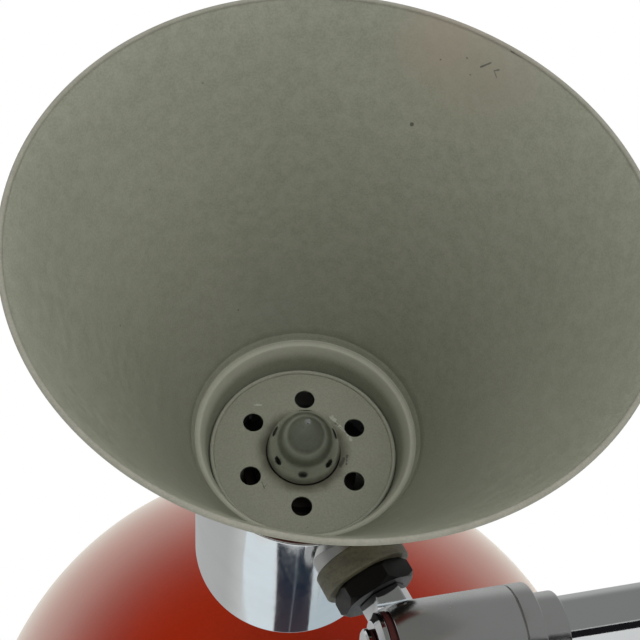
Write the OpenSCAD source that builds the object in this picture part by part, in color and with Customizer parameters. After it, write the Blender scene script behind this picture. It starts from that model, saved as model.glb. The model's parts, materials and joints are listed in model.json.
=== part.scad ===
// Adjustable wall lamp: a domed wall canopy carries a folding two-part swing arm,
// and a swivel knuckle at the arm's end carries a cone-shaped lamp head.
// Millimetres. The wall is the plane y = 0, the lamp reaches out along -Y, +Z is up.
// The origin is the centre of the canopy on the wall.

/* [Shade] */
// Outer diameter of the rolled rim
rim_d = 110; // [100:1:130]
// Depth from the rim to the place where the cone turns into the recessed cup
cone_depth = 73.8; // [70:0.1:74]
// How much wider the cone's narrow end is inside than the neck is outside
cup_overhang = 0.1; // [0:0.1:0.8]
// Depth of the cup, from the end of the cone to its floor
cup_depth = 9; // [8.6:0.1:9]
// Width of the narrow ledge at the cup's edge
cup_ledge_w = 1; // [0.8:0.1:1.2]
// How much narrower the cup is at its floor than inside its ledge
cup_taper = 1.9; // [1.7:0.1:2.2]
// Width of the flat ring that is left of the cup's floor
cup_floor_w = 4.6; // [4:0.1:4.8]
// Thickness of the spun sheet
sheet = 0.5; // [0.4:0.01:0.55]
// Diameter of the rolled bead round the rim
bead_d = 1.6; // [1.4:0.1:2.4]

/* [Vent plate] */
// Number of vent holes
vent_count = 6; // [4:1:8]
// Diameter of each vent hole
vent_d = 4.5; // [3:0.1:5]
// Diameter of the circle that the vent holes lie on
vent_circle_d = 26.2; // [25:0.1:27]
// Turn of the vent holes about the head's axis
vent_turn = 18; // [0:1:59]
// Gap between the vent plate's rolled edge and the cup's wall
vent_plate_gap = 0.3; // [0.1:0.1:0.5]

/* [Neck] */
// Outer diameter of the neck tube
neck_d = 47.5; // [46:0.1:50]
// Wall of the neck tube
neck_wall = 1; // [0.8:0.1:1.4]
// Gap between the shade's narrow end and the front of the neck tube
neck_gap = 4; // [3.8:0.1:4.3]
// Depth of the neck tube's rear end, from the rim
neck_end = 134.5; // [130:0.5:150]
// Depth of the swivel shank's axis, from the rim
stud_depth = 87; // [86.9:0.1:100]

/* [Bulb] */
// Diameter of the mirrored bulb at the vent plate
bulb_d = 16.2; // [14:0.1:17]
// Height of the bulb's tip above the cup's floor
bulb_tip = 15.6; // [12:0.1:20]
// Radius of the rounded point at the bulb's tip
bulb_point_r = 1.5; // [0.8:0.1:3]
// Diameter of the bayonet cap
bulb_cap_d = 15; // [14:0.1:15.2]

/* [Swivel joint] */
// Lean of the swivel shank from the vertical, towards the arm
shank_lean = 17.4; // [10:0.1:28]
// Distance from the head's axis to the arm's axis, along the shank
head_rise = 49.4; // [49.2:0.1:56]
// Thickness of the saddle washer between the neck and the fibre washer
saddle_t = 1.4; // [1:0.1:2]
// Diameter of the fibre washer
washer_d = 19.8; // [17:0.1:20]
// Thickness of the fibre washer
washer_t = 5.3; // [3:0.1:5.5]
// Width across the flats of the black nut
nut_flats = 15.6; // [14:0.1:17]
// Thickness of the black nut
nut_t = 4.6; // [3:0.1:4.8]
// Width across the flats of the knuckle's six-sided shoulder
shoulder_flats = 9.6; // [9:0.1:11]
// Sideways offset of the six-sided shoulder, away from the eye
shoulder_shift = 0.6; // [0:0.1:1]
// Diameter of the knuckle's threaded shank
shank_d = 6; // [5:0.1:6.4]
// Thickness of the knuckle's eye
knuckle_eye_t = 2; // [1.8:0.1:3]
// Diameter of the knuckle's eye
knuckle_eye_d = 19.8; // [18:0.1:20.5]
// Angle of the black nut's flats round the shank
nut_turn = 22; // [0:1:59]

/* [Arm] */
// Outer diameter of the arm tubes
tube_d = 14.4; // [13:0.1:15.4]
// Wall of the arm tubes
tube_wall = 1; // [0.8:0.1:1.5]
// Length of the lower arm between its two pivots
lower_arm_len = 220; // [200:1:260]
// Length of the upper arm, from the elbow pivot to the swivel shank's line
upper_arm_len = 197.2; // [185:0.1:215]
// Heading of the lower arm as shown, 0 points along +X and -90 straight out of the wall
lower_arm_heading = -21.3; // [-24:0.1:-18]
// Diameter of the arm's end sleeve
sleeve_d = 22.6; // [21:0.1:23]
// Wall of the collar beside the sleeve
collar_wall = 1.4; // [1:0.1:2.5]
// Diameter of the pivot barrels
barrel_d = 21; // [20:0.1:24]
// Height of each arm's pivot barrel
eye_h = 18; // [17:0.5:22]
// Diameter of the pivot studs
pivot_d = 8; // [6:0.1:8]

/* [Canopy] */
// Outer radius of the half-ball canopy
canopy_r = 108; // [100:1:125]
// Thickness of the canopy's sheet
canopy_wall = 1.2; // [1:0.1:1.6]
// Distance from the top of the canopy to the shoulder pivot
shoulder_gap = 14.3; // [13:0.1:20]
// Distance of the lower arm below the canopy's axis
lower_arm_drop = 41.8; // [38:0.1:48]
// Diameter of the post that carries the arm
post_d = 8; // [7:0.1:9]
// Thickness of the steel wall plate
plate_t = 2; // [1.5:0.1:3]
// Gap between the wall plate's edge and the canopy
plate_gap = 6.8; // [4:0.1:12]
// Distance between the two wall screws
wall_screw_spacing = 150; // [120:1:160]
// Diameter of the wall screw holes
wall_screw_hole_d = 5.2; // [4:0.1:6.5]

/* [Clearances] */
// Radial running clearance of a pivot in its bore
run_gap = 0.08; // [0.05:0.01:0.1]
// Radial clearance of a fixed piece in its seat
seat_gap = 0.05; // [0.02:0.01:0.1]
// Gap between faces that slide past each other
face_gap = 0.15; // [0.1:0.01:0.3]
// Travel of the switch button
button_travel = 3; // [2:0.1:4]

/* [Hidden] */
$fn = 96;

// Small overlap that keeps joined shapes from only touching
eps = 0.02;

// Head, depths are measured from the rim plane
rim_r = rim_d / 2;
bead_r = bead_d / 2;
bead_inset = 0.35;
bead_lift = 0.3;
mouth_r = rim_r - bead_d + bead_inset;
neck_r = neck_d / 2;
neck_in_r = neck_r - neck_wall;
cup_r = neck_r + cup_overhang / 2;
floor_depth = cone_depth + cup_depth;
cup_ledge_drop = 0.6;
cup_floor_r = cup_r - cup_ledge_w - cup_taper;
cup_floor_hole_r = cup_floor_r - cup_floor_w;
neck_front = cone_depth + neck_gap;
vent_plate_t = 0.8;
vent_ring_r = 0.5;
vent_ring_circle_r = cup_floor_r - vent_plate_gap - vent_ring_r;
vent_plate_depth = floor_depth - vent_plate_t;
carrier_front = floor_depth + sheet + 0.02;
carrier_t = 1.5;
carrier_h = 8;
carrier_skirt = 1.8;
rear_cap_t = 1.6;
neck_screw_depth = carrier_front + 4.5;
neck_screw_r = 1.5;
carrier_screw_turns = [210, 270, 330];

// Lampholder and bulb
bulb_r = bulb_d / 2;
bulb_gap = 0.15;
bulb_neck_depth = floor_depth + 3.5;
bulb_cap_r = bulb_cap_d / 2;
bulb_cap_len = 17;
holder_r = bulb_cap_r + 3.2;
holder_front = bulb_neck_depth + 1.5;
holder_len = 24;
holder_end = holder_front + holder_len;
leg_inset = 5.55;
leg_r = neck_in_r - carrier_skirt - leg_inset;
leg_turns = [for (k = [0 : 2]) 150 - shank_lean + k * 120];
leg_w = 8;
leg_sheet = 1.6;
leg_foot = 4;
leg_plate_t = 1.2;
leg_start = leg_r + 0.9;
holder_flange_z = 3;
holder_flange_t = 2.5;
holder_flange_r = holder_r + 2;

// Switch in the rear cap
switch_r = 9;
switch_front = holder_end + 3.2;
bushing_r = 5;
button_r = 3.6;
button_out = 6;
ring_nut_r = 7.6;
ring_nut_t = 2;
bushing_end = neck_end + ring_nut_t + 0.6;
button_well = 6;
button_gap = 0.12;
button_edge = 1;
lug_gap = 4.5;
lug_len = 2.4;
rear_cap_skirt = 8;
rear_cap_wall = 1.2;
rear_vent_circle_r = 14.5;
rear_vent_r = 1.6;

// Swivel stack along the shank, distances from the head's axis
saddle_top = neck_r + saddle_t;
saddle_wrap = 2.4;
saddle_inset = 1;
washer_base = saddle_top + face_gap;
washer_top = washer_base + washer_t;
nut_top = washer_top + nut_t;
washer_r = washer_d / 2;
shank_r = shank_d / 2;
inner_nut_r = 3.6;
inner_nut_t = 3.2;
shank_end_r = 2.2;
inner_nut_top = sqrt(pow(neck_in_r, 2) - pow(inner_nut_r, 2)) - face_gap;
shank_start = inner_nut_top - inner_nut_t - 1;
carrier_notch_w = 2 * inner_nut_r + 2;

// Arm line, measured along +X from the point where the shank's line meets it
sleeve_r = sleeve_d / 2;
sleeve_left = -4.2;
sleeve_tip_r = sleeve_r - 1.2;
sleeve_taper_end = 2;
sleeve_right = 21.3;
seam_w = 0.4;
cap_right = 25.7;
collar_right = 31.5;
collar_bevel = 0.7;
red_washer_t = 0.45;
friction_washer_t = 1.1;
red_washer_left = sleeve_left - red_washer_t - 0.02;
friction_left = red_washer_left - friction_washer_t - 0.02;
eye_right = friction_left - face_gap;
eye_left = eye_right - knuckle_eye_t;
knuckle_eye_r = knuckle_eye_d / 2;
eye_bevel_t = 1;
eye_bevel_r = 1.5;
spring_washer_t = 0.7;
spring_washer_r = 6.7;
spring_washer_left = eye_left - face_gap - spring_washer_t;
screw_head_t = 1.1;
screw_head_r = 7;
screw_head_left = spring_washer_left - 0.02 - screw_head_t;
knuckle_screw_r = 3;
knuckle_screw_reach = 7;
screw_edge = 0.4;
screw_slot_w = 1.2;
tube_start = knuckle_screw_reach + 1;
cap_edge = 0.7;
seam_inset = 0.9;
sleeve_clear = 0.3;

// Places that the chain of pivots gives
pivot_r = pivot_d / 2;
barrel_r = barrel_d / 2;
tube_r = tube_d / 2;
tube_in_r = tube_r - tube_wall;
collar_r = tube_r + seat_gap + collar_wall;
pivot_washer_t = 1;
arm_stack = eye_h + pivot_washer_t + 2 * face_gap;
shoulder_y = -(canopy_r + shoulder_gap);
lower_arm_z = -lower_arm_drop;
upper_arm_z = lower_arm_z + arm_stack;
elbow_x = lower_arm_len * cos(lower_arm_heading);
elbow_y = shoulder_y + lower_arm_len * sin(lower_arm_heading);
knuckle_x = elbow_x - upper_arm_len;
head_x = knuckle_x - head_rise * sin(shank_lean);
head_z = upper_arm_z + head_rise * cos(shank_lean);
rim_y = elbow_y - stud_depth;
boss_len = barrel_r + 8;
spigot_len = 16;
cap_nut_h = 8;
cap_nut_flats = 13;
cap_nut_skirt = 0.45 * cap_nut_h;
barrel_bevel = 0.8;
pivot_stack = pivot_washer_t + 2 * face_gap;
stud_seat = 18;
shoulder_barrel_top = post_d / 2 + 0.5;
shoulder_barrel_bottom = lower_arm_z + eye_h / 2 + pivot_stack;

// Canopy
canopy_in_r = canopy_r - canopy_wall;
plate_r = sqrt(pow(canopy_in_r, 2) - pow(plate_t, 2)) - plate_gap;
bracket_w = 30;
bracket_t = 2.5;
bracket_span = 44;
bracket_foot = 40;
bracket_foot_len = 14;
post_washer_r = 12;
post_washer_t = 1.6;
post_washer_y = -sqrt(pow(canopy_in_r, 2) - pow(post_washer_r, 2)) + 0.03;
post_nut_t = 5;
post_nut_flats = 13;
bracket_y = post_washer_y + post_washer_t + post_nut_t + 0.1;
post_end = bracket_y + bracket_t + post_nut_t + 3;
collar_ring_r = 10;
collar_depth = 4;
canopy_screw_r = 1.65;
canopy_screw_reach = 3;
canopy_screw_head_r = 3.4;
canopy_screw_end_r = 2.6;
canopy_screw_head_t = 1.8;
tab_w = 12;
tab_t = 2;
tab_len = 12;
// The tab's outer corners stay inside the canopy's ball
tab_out = sqrt(pow(canopy_in_r, 2) - pow(plate_t + tab_len - 1, 2) - pow(tab_w / 2, 2)) - 0.3;
tab_screw_y = -plate_t - 6;
tab_root = 8;

// Transformer and terminal block
core_x = -48;
core_w = 50;
core_d = 42;
core_h = 17;
core_lift = 8;
core_bar = 8;
core_leg = 12;
core_hole_inset = 4;
core_hole_r = 2;
window_w = (core_w - 2 * core_bar - core_leg) / 2;
coil_gap = 0.6;
coil_overhang = 6.5;
bobbin_t = 1.2;
bobbin_lip = 0.8;
spacer_r = 3;
core_screw_r = 1.9;
core_screw_head_r = 3.5;
core_screw_head_t = 2;
block_place = [30, -12];
block_size = [30, 24, 5];
block_pole_size = [8, 20, 10];
block_pole_step = 9.5;
block_wire_r = 1.6;
block_screw_r = 2;

// Cable grommet
grommet_r = 8;
grommet_lip = 2;
grommet_bore_r = 4;

// Frame of the head: z runs from the rim into the lamp, towards the wall
module in_head() {
    translate([head_x, rim_y, head_z]) rotate([-90, 0, 0]) children();
}

// Frame of the swivel stack: z runs from the head's axis down the shank
module in_stack() {
    translate([head_x, rim_y + stud_depth, head_z]) rotate([0, 180 - shank_lean, 0]) children();
}

// Frame of the upper arm: z runs along +X from the shank's line
module in_arm() {
    translate([knuckle_x, elbow_y, upper_arm_z]) rotate([0, 90, 0]) children();
}

// Frame of the canopy: z runs out of the wall, along -Y
module in_canopy() {
    rotate([90, 0, 0]) children();
}

// Frames of the pivots: z runs up
module at_shoulder() {
    translate([0, shoulder_y, 0]) children();
}
module at_elbow() {
    translate([elbow_x, elbow_y, 0]) children();
}

// Ring of rectangular section
module ring(r_out, r_in, h) {
    difference() {
        cylinder(r = r_out, h = h);
        translate([0, 0, -1]) cylinder(r = r_in, h = h + 2);
    }
}

// Round bar with a small bevel at both ends
module bevelled(r, h, bevel) {
    cylinder(r1 = r - bevel, r2 = r, h = bevel);
    translate([0, 0, bevel]) cylinder(r = r, h = h - 2 * bevel);
    translate([0, 0, h - bevel]) cylinder(r1 = r, r2 = r - bevel, h = bevel);
}

// Hexagon bar, measured across its flats
module hexagon(flats, h) {
    cylinder(r = flats / sqrt(3), h = h, $fn = 6);
}

// Hexagon nut whose corners are turned off at both faces
module nut(flats, h, bore_r) {
    corner = flats / sqrt(3);
    difference() {
        intersection() {
            hexagon(flats, h);
            bevelled(corner, h, (corner - flats / 2) * 0.9);
        }
        translate([0, 0, -1]) cylinder(r = bore_r, h = h + 2);
    }
}

// Domed cap nut with a blind bore
module cap_nut(flats, h, skirt, bore_r) {
    dome_r = flats * 0.46;
    difference() {
        union() {
            hexagon(flats, skirt);
            translate([0, 0, skirt - eps]) intersection() {
                sphere(r = dome_r);
                cylinder(r = dome_r + 1, h = h - skirt);
            }
        }
        translate([0, 0, -1]) cylinder(r = bore_r, h = skirt + 2);
    }
}

// Wall canopy

module wall_plate() color("silver") in_canopy() {
    difference() {
        cylinder(r = plate_r, h = plate_t);
        translate([0, 0, -1]) cylinder(r = grommet_r, h = plate_t + 2);
        for (side = [-1, 1]) translate([0, side * wall_screw_spacing / 2, -1])
            cylinder(r = wall_screw_hole_d / 2, h = plate_t + 2);
    }
    for (turn = [0, 180]) rotate([0, 0, turn]) difference() {
        translate([tab_out - tab_t, -tab_w / 2, plate_t - 1]) cube([tab_t, tab_w, tab_len]);
        translate([tab_out - tab_t - 1, 0, -tab_screw_y]) rotate([0, 90, 0])
            cylinder(r = canopy_screw_r + seat_gap, h = tab_t + 2);
    }
    for (turn = [0, 180]) rotate([0, 0, turn])
        translate([plate_r - tab_root, -tab_w / 2, 0]) cube([tab_out - plate_r + tab_root, tab_w, plate_t]);
}

module cable_grommet() color("dimgray") in_canopy() {
    difference() {
        union() {
            cylinder(r = grommet_r - seat_gap, h = plate_t);
            translate([0, 0, plate_t + 0.02]) cylinder(r = grommet_r + grommet_lip, h = grommet_lip);
            translate([0, 0, plate_t - eps]) cylinder(r = grommet_r - seat_gap, h = 0.1);
        }
        translate([0, 0, -1]) cylinder(r = grommet_bore_r, h = plate_t + grommet_lip + 2);
    }
}

// Bent strap that carries the lamp's weight from the wall plate to the post
module post_bracket() color("gainsboro") {
    top = -bracket_y - bracket_t;
    foot_top = plate_t + bracket_t;
    half = bracket_span / 2;
    difference() {
        union() {
            translate([-bracket_w / 2, bracket_y, -half]) cube([bracket_w, bracket_t, bracket_span]);
            for (side = [0, 1]) mirror([0, 0, side]) translate([-bracket_w / 2, 0, 0])
                rotate([90, 0, 90]) linear_extrude(bracket_w) polygon([
                    [bracket_y, half - bracket_t], [bracket_y, half],
                    [-foot_top, bracket_foot], [-foot_top, bracket_foot + bracket_foot_len],
                    [-plate_t, bracket_foot + bracket_foot_len], [-plate_t, bracket_foot - bracket_t],
                    [-foot_top, bracket_foot - bracket_t], [-top, half - bracket_t]
                ]);
        }
        in_canopy() translate([0, 0, top - 1]) cylinder(r = post_d / 2 + seat_gap, h = bracket_t + 2);
    }
}

module canopy_dome() color("orangered") in_canopy() difference() {
    intersection() {
        sphere(r = canopy_r);
        cylinder(r = canopy_r + 1, h = canopy_r + 1);
    }
    sphere(r = canopy_in_r);
    translate([0, 0, canopy_r / 2]) cylinder(r = post_d / 2 + 0.2, h = canopy_r);
    for (turn = [0, 180]) rotate([0, 0, turn])
        translate([canopy_in_r - 6, 0, -tab_screw_y]) rotate([0, 90, 0])
            cylinder(r = canopy_screw_r + 3 * seat_gap, h = 20);
}

// Two small screws hold the canopy to the wall plate's tabs
module canopy_screws() color("silver") in_canopy()
    for (turn = [0, 180]) rotate([0, 0, turn])
        translate([0, 0, -tab_screw_y]) rotate([0, 90, 0]) difference() {
            union() {
                translate([0, 0, tab_out - tab_t - canopy_screw_reach])
                    cylinder(r = canopy_screw_r, h = canopy_r - tab_out + tab_t + canopy_screw_reach + 0.1);
                translate([0, 0, canopy_r + 0.05])
                    cylinder(r1 = canopy_screw_head_r, r2 = canopy_screw_end_r, h = canopy_screw_head_t);
            }
            translate([-0.5, -5, canopy_r + canopy_screw_head_t / 2]) cube([1, 10, 2]);
        }

module canopy_collar() color("silver") in_canopy() difference() {
    translate([0, 0, canopy_r - collar_depth])
        bevelled(collar_ring_r, shoulder_gap - barrel_r + collar_depth - 0.05, 0.8);
    sphere(r = canopy_r + 0.05, $fn = 240);
    cylinder(r = post_d / 2 + seat_gap, h = canopy_r * 2);
}

// Post with the fixed half of the shoulder hinge
module shoulder_post() color("silver") difference() {
    union() {
        in_canopy() translate([0, 0, -post_end]) cylinder(r = post_d / 2, h = -shoulder_y + post_end);
        at_shoulder() translate([0, 0, shoulder_barrel_bottom])
            bevelled(barrel_r, shoulder_barrel_top - shoulder_barrel_bottom, barrel_bevel);
    }
    at_shoulder() translate([0, 0, shoulder_barrel_bottom - 1])
        cylinder(r = pivot_r + seat_gap, h = stud_seat + 2);
}

module post_washer() color("silver") in_canopy() translate([0, 0, -post_washer_y - post_washer_t])
    ring(post_washer_r, post_d / 2 + seat_gap, post_washer_t);

module post_nuts() color("darkgray") in_canopy() {
    translate([0, 0, -bracket_y + 0.05]) nut(post_nut_flats, post_nut_t, post_d / 2 + seat_gap);
    translate([0, 0, -bracket_y - bracket_t - 0.05 - post_nut_t])
        nut(post_nut_flats, post_nut_t, post_d / 2 + seat_gap);
}

// Laminated core with two windows for the winding
module transformer_core() color("slategray") translate([core_x, 0, 0]) in_canopy()
    translate([0, 0, plate_t + core_lift]) difference() {
        translate([-core_w / 2, -core_d / 2, 0]) cube([core_w, core_d, core_h]);
        for (side = [-1, 1])
            translate([side * (core_leg + window_w) / 2 - window_w / 2, -core_d / 2 + core_bar, -1])
                cube([window_w, core_d - 2 * core_bar, core_h + 2]);
        at_core_holes() translate([0, 0, -1]) cylinder(r = core_hole_r, h = core_h + 2);
    }

// The core's four screw holes
module at_core_holes() {
    for (i = [-1, 1], k = [-1, 1])
        translate([i * (core_w / 2 - core_hole_inset), k * (core_d / 2 - core_hole_inset), 0]) children();
}

// Winding on its bobbin round the core's middle leg
module transformer_coil() color("peru") translate([core_x, 0, 0]) in_canopy() {
    length = core_d - 2 * core_bar - coil_gap;
    width = core_leg + 2 * window_w - coil_gap;
    height = core_h + 2 * coil_overhang;
    translate([0, 0, plate_t + core_lift + core_h / 2]) difference() {
        union() {
            translate([-width / 2 + bobbin_lip, -length / 2, -height / 2 + bobbin_lip])
                cube([width - 2 * bobbin_lip, length, height - 2 * bobbin_lip]);
            for (side = [-1, 1])
                translate([-width / 2, side * (length - bobbin_t) / 2 - bobbin_t / 2, -height / 2])
                    cube([width, bobbin_t, height]);
        }
        translate([-core_leg / 2 - 0.1, -length / 2 - 1, -core_h / 2 - 0.1])
            cube([core_leg + 0.2, length + 2, core_h + 0.2]);
    }
}

// Four screws with spacer tubes hold the core off the wall plate
module transformer_screws() color("silver") translate([core_x, 0, 0]) in_canopy()
    at_core_holes() translate([0, 0, plate_t + 0.02]) {
        cylinder(r = spacer_r, h = core_lift - 0.04);
        cylinder(r = core_screw_r, h = core_lift + core_h + core_screw_head_t);
        translate([0, 0, core_lift + core_h + 0.02]) cylinder(r = core_screw_head_r, h = core_screw_head_t);
    }

// Three screw terminals side by side on a common foot
module terminal_block() color("ivory") in_canopy() translate([block_place.x, block_place.y, plate_t + 0.02])
    difference() {
        base = block_size.z - 1;
        pole = block_pole_size;
        start = (block_size.x - 2 * block_pole_step - pole.x) / 2;
        side = (block_size.y - pole.y) / 2;
        union() {
            cube(block_size);
            for (i = [0, 1, 2]) translate([start + i * block_pole_step, side, base]) cube(pole);
        }
        for (i = [0, 1, 2]) translate([start + pole.x / 2 + i * block_pole_step, 0, base + pole.z / 2]) {
            translate([0, -1, 0]) rotate([-90, 0, 0]) cylinder(r = block_wire_r, h = block_size.y + 2);
            for (y = [0.25, 0.75]) translate([0, side + y * pole.y, 0])
                cylinder(r = block_screw_r, h = pole.z);
        }
    }

// Shoulder and elbow pivots

module pivot_washer(z) {
    translate([0, 0, z]) ring(barrel_r - 0.6, pivot_r + run_gap, pivot_washer_t);
}

module shoulder_stud() color("darkgray") at_shoulder() {
    bottom = lower_arm_z - eye_h / 2 - pivot_stack - cap_nut_skirt;
    translate([0, 0, bottom]) cylinder(r = pivot_r, h = shoulder_barrel_bottom + stud_seat - bottom);
}

module shoulder_washers() color("gainsboro") at_shoulder() {
    pivot_washer(lower_arm_z + eye_h / 2 + face_gap);
    pivot_washer(lower_arm_z - eye_h / 2 - face_gap - pivot_washer_t);
}

module shoulder_cap_nut() color("silver") at_shoulder()
    translate([0, 0, lower_arm_z - eye_h / 2 - pivot_stack]) mirror([0, 0, 1])
        cap_nut(cap_nut_flats, cap_nut_h, cap_nut_skirt, pivot_r + seat_gap);

// Barrel of an arm with a boss and a spigot that the tube slides over
module arm_eye(z, heading) {
    difference() {
        union() {
            translate([0, 0, z - eye_h / 2]) bevelled(barrel_r, eye_h, barrel_bevel);
            translate([0, 0, z]) rotate([0, 0, heading]) rotate([0, 90, 0]) {
                cylinder(r = tube_r, h = boss_len);
                cylinder(r = tube_in_r - seat_gap, h = boss_len + spigot_len);
            }
        }
        translate([0, 0, z - eye_h / 2 - 1]) cylinder(r = pivot_r + run_gap, h = eye_h + 2);
    }
}

module shoulder_eye() color("silver") at_shoulder() arm_eye(lower_arm_z, lower_arm_heading);

module lower_arm_tube() color("silver") at_shoulder() translate([0, 0, lower_arm_z])
    rotate([0, 0, lower_arm_heading]) rotate([0, 90, 0]) translate([0, 0, boss_len + 0.02])
        ring(tube_r, tube_in_r, lower_arm_len - 2 * boss_len - 0.04);

module lower_elbow_eye() color("silver") at_elbow() arm_eye(lower_arm_z, lower_arm_heading + 180);

module elbow_stud() color("darkgray") at_elbow() {
    bottom = lower_arm_z - eye_h / 2 - pivot_stack - cap_nut_skirt;
    top = upper_arm_z + eye_h / 2 + pivot_stack + cap_nut_skirt;
    translate([0, 0, bottom]) cylinder(r = pivot_r, h = top - bottom);
}

module elbow_washers() color("gainsboro") at_elbow() {
    pivot_washer(upper_arm_z + eye_h / 2 + face_gap);
    pivot_washer(lower_arm_z + eye_h / 2 + face_gap);
    pivot_washer(lower_arm_z - eye_h / 2 - face_gap - pivot_washer_t);
}

module elbow_cap_nuts() color("silver") at_elbow() {
    translate([0, 0, upper_arm_z + eye_h / 2 + pivot_stack])
        cap_nut(cap_nut_flats, cap_nut_h, cap_nut_skirt, pivot_r + seat_gap);
    translate([0, 0, lower_arm_z - eye_h / 2 - pivot_stack]) mirror([0, 0, 1])
        cap_nut(cap_nut_flats, cap_nut_h, cap_nut_skirt, pivot_r + seat_gap);
}

module upper_elbow_eye() color("silver") at_elbow() arm_eye(upper_arm_z, 180);

module upper_arm_tube() color("silver") in_arm() translate([0, 0, tube_start])
    ring(tube_r, tube_in_r, upper_arm_len - boss_len - 0.02 - tube_start);

// Pieces on the upper arm's end, seen at the swivel

module arm_collar() color("silver") in_arm() translate([0, 0, cap_right + 0.02]) difference() {
    union() {
        cylinder(r = collar_r, h = collar_right - cap_right - collar_bevel);
        translate([0, 0, collar_right - cap_right - collar_bevel - eps])
            cylinder(r1 = collar_r, r2 = collar_r - collar_bevel, h = collar_bevel);
    }
    translate([0, 0, -1]) cylinder(r = tube_r + seat_gap, h = 20);
}

module sleeve_cap() color("silver") in_arm() difference() {
    union() {
        translate([0, 0, sleeve_right + 0.02]) cylinder(r = sleeve_r - seam_inset, h = seam_w + 0.1);
        translate([0, 0, sleeve_right + seam_w])
            cylinder(r = sleeve_r, h = cap_right - sleeve_right - seam_w - cap_edge);
        translate([0, 0, cap_right - cap_edge - eps])
            cylinder(r1 = sleeve_r, r2 = sleeve_r - cap_edge, h = cap_edge);
    }
    translate([0, 0, sleeve_right - 1]) cylinder(r = tube_r + seat_gap, h = 20);
}

// Sleeve whose free end rounds down to the knuckle's washers
module arm_sleeve() color("silver") in_arm() difference() {
    taper = sleeve_taper_end - sleeve_left;
    drop = sleeve_r - sleeve_tip_r;
    round_r = (pow(taper, 2) + pow(drop, 2)) / (2 * drop);
    rotate_extrude() {
        translate([0, sleeve_taper_end - eps]) square([sleeve_r, sleeve_right - sleeve_taper_end + eps]);
        intersection() {
            translate([sleeve_r - round_r, sleeve_taper_end]) circle(r = round_r, $fn = 240);
            translate([0, sleeve_left]) square([sleeve_r, taper]);
        }
    }
    translate([0, 0, knuckle_screw_reach + 0.5]) cylinder(r = tube_r + seat_gap, h = sleeve_right);
    translate([0, 0, sleeve_left - 1]) cylinder(r = knuckle_screw_r + seat_gap, h = 20);
}

module knuckle_screw() color("silver") in_arm() difference() {
    union() {
        translate([0, 0, screw_head_left])
            cylinder(r1 = screw_head_r - screw_edge, r2 = screw_head_r, h = screw_edge);
        translate([0, 0, screw_head_left + screw_edge])
            cylinder(r = screw_head_r, h = screw_head_t - screw_edge);
        translate([0, 0, screw_head_left + 0.5])
            cylinder(r = knuckle_screw_r, h = knuckle_screw_reach - screw_head_left - 0.5);
    }
    translate([-screw_slot_w / 2, -20, screw_head_left - 1]) cube([screw_slot_w, 40, 1.6]);
}

// Red fibre washer, friction washer and spring washer on the knuckle screw
module knuckle_washers() color("gainsboro") in_arm() {
    translate([0, 0, red_washer_left]) ring(sleeve_tip_r - 0.6, knuckle_screw_r + seat_gap, red_washer_t);
    translate([0, 0, friction_left]) ring(knuckle_eye_r, knuckle_screw_r + seat_gap, friction_washer_t);
    translate([0, 0, spring_washer_left]) ring(spring_washer_r, knuckle_screw_r + seat_gap, spring_washer_t);
}

// Knuckle: an eye on the arm's end, a six-sided shoulder and a threaded shank
module knuckle() color("silver") difference() {
    union() {
        in_stack() {
            translate([0, 0, shank_start]) cylinder(r = shank_end_r, h = inner_nut_top - shank_start + 1);
            translate([0, 0, inner_nut_top + 0.02]) cylinder(r = shank_r, h = nut_top - inner_nut_top + 1);
            translate([-shoulder_shift, 0, nut_top + 0.02]) hexagon(shoulder_flats, head_rise - nut_top - 8);
        }
        in_arm() {
            translate([0, 0, eye_left])
                cylinder(r1 = knuckle_eye_r - eye_bevel_r, r2 = knuckle_eye_r, h = eye_bevel_t);
            translate([0, 0, eye_left + eye_bevel_t])
                cylinder(r = knuckle_eye_r, h = knuckle_eye_t - eye_bevel_t);
        }
    }
    in_arm() {
        translate([0, 0, eye_right]) cylinder(r = sleeve_r + sleeve_clear, h = 40);
        translate([0, 0, eye_left - 1]) cylinder(r = knuckle_screw_r + run_gap, h = knuckle_eye_t + 2);
        translate([0, 0, eye_left - 10]) cylinder(r = screw_head_r + sleeve_clear, h = 10);
    }
}

// Swivel stack between the neck and the knuckle

module fibre_washer() color("darkkhaki") in_stack() translate([0, 0, washer_base]) difference() {
    bevelled(washer_r, washer_t, 0.4);
    translate([0, 0, -1]) cylinder(r = shank_r + seat_gap, h = washer_t + 2);
}

module swivel_nut() color("black") in_stack() translate([0, 0, washer_top + 0.01]) rotate([0, 0, nut_turn])
    nut(nut_flats, nut_t - 0.01, shank_r + seat_gap);

// Round nut inside the neck that closes the swivel
module stud_inner_nut() color("darkgray") in_stack() translate([0, 0, inner_nut_top - inner_nut_t])
    difference() {
        bevelled(inner_nut_r, inner_nut_t, 0.4);
        translate([0, 0, -1]) cylinder(r = shank_end_r + seat_gap, h = inner_nut_t + 2);
    }

// Thin washer whose underside follows the round neck
module saddle_washer() color("dimgray") difference() {
    in_stack() translate([0, 0, neck_r - saddle_wrap])
        ring(washer_r - saddle_inset, shank_r + run_gap, saddle_t + saddle_wrap);
    in_head() translate([0, 0, stud_depth - 30]) cylinder(r = neck_r + 0.02, h = 60);
    in_head() translate([0, 0, neck_front - 10]) cylinder(r = rim_r, h = 10);
}

// Lamp head

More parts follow.
